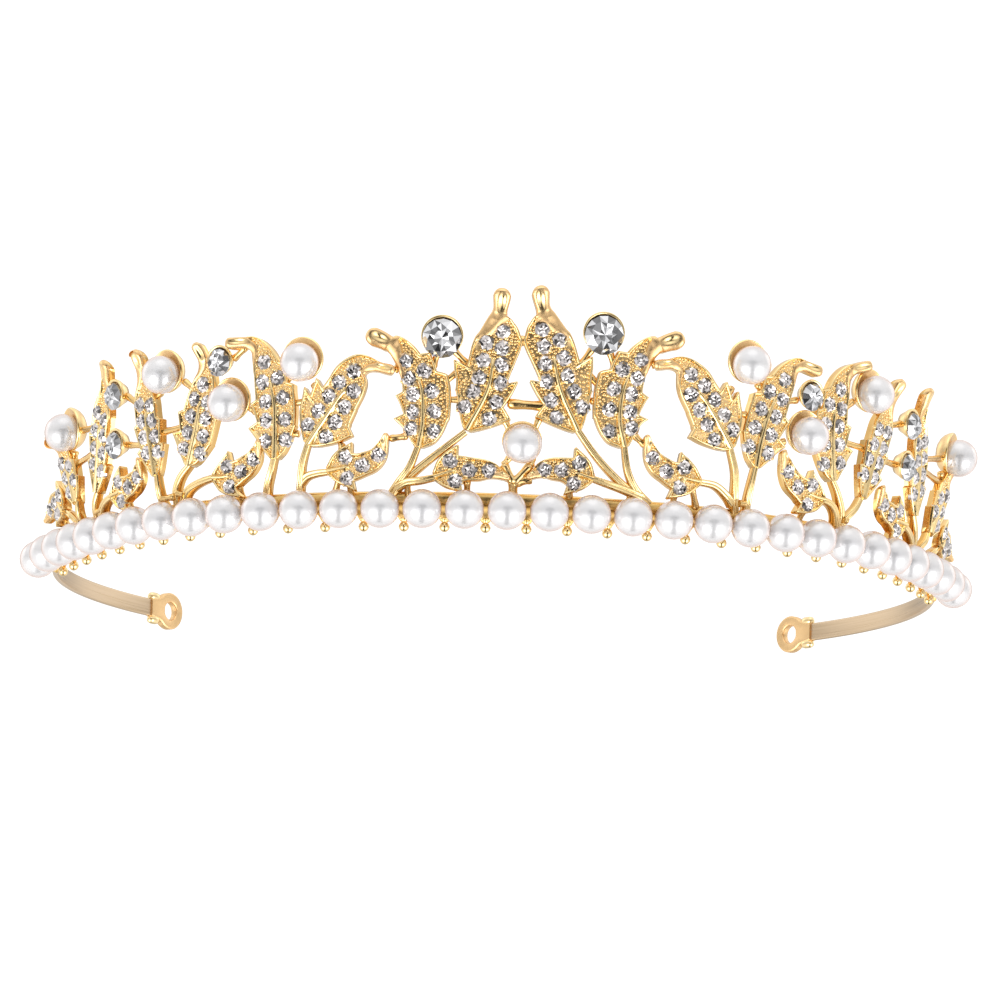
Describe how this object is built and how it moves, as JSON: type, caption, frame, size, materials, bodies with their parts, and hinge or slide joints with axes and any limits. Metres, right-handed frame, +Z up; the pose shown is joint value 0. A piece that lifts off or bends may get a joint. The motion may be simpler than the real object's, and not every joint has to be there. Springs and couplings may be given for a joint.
{
  "type": "bridal tiara",
  "caption": "Open-backed gold bridal tiara: springy headband, pearl row on a cast rail, and a leaning crown of stone-set leaves, pearls and crystals, with tie loops at the ends.",
  "frame": {"origin": "middle of the outer box, on the surface the tiara stands on", "axes": "+Z up out of the pearl row, -Y out of the front of the crown, +X to the right side seen from the front"},
  "size_m": [0.153, 0.1298, 0.0375],
  "materials": {
    "crown_gold": "cast, gold plated and polished, with granulated leaf beds",
    "rail_gold": "cast, gold plated and polished",
    "loop_gold": "cast, gold plated and polished",
    "band_steel": "spring steel strip with satin champagne gold plating",
    "pearl": "glossy white imitation pearl lacquer",
    "set_stone": "clear faceted brilliant with foiled back",
    "crystal": "clear faceted crystal with foiled back"
  },
  "bodies": {
    "root": {"headband": "band_steel", "left_end_loop": "loop_gold", "right_end_loop": "loop_gold", "gallery_rail": "rail_gold", "bead_row": "rail_gold", "row_pearls_left_rear": "pearl", "row_pearls_left_front": "pearl", "row_pearl_middle": "pearl", "row_pearls_right_front": "pearl", "row_pearls_right_rear": "pearl", "centre_link": "crown_gold", "centre_pearl": "pearl", "left_spray_1": "crown_gold", "left_spray_2": "crown_gold", "left_spray_3": "crown_gold", "left_spray_4": "crown_gold", "right_spray_1": "crown_gold", "right_spray_2": "crown_gold", "right_spray_3": "crown_gold", "right_spray_4": "crown_gold", "left_pearl_1": "pearl", "left_pearl_2": "pearl", "left_pearl_3": "pearl", "left_pearl_4": "pearl", "right_pearl_1": "pearl", "right_pearl_2": "pearl", "right_pearl_3": "pearl", "right_pearl_4": "pearl", "left_crystal_1": "crystal", "left_crystal_2": "crystal", "left_crystal_3": "crystal", "left_crystal_4": "crystal", "right_crystal_1": "crystal", "right_crystal_2": "crystal", "right_crystal_3": "crystal", "right_crystal_4": "crystal", "left_stones_1": "set_stone", "left_stones_2": "set_stone", "left_stones_3": "set_stone", "left_stones_4": "set_stone", "right_stones_1": "set_stone", "right_stones_2": "set_stone", "right_stones_3": "set_stone", "right_stones_4": "set_stone"}
  },
  "joints": []
}
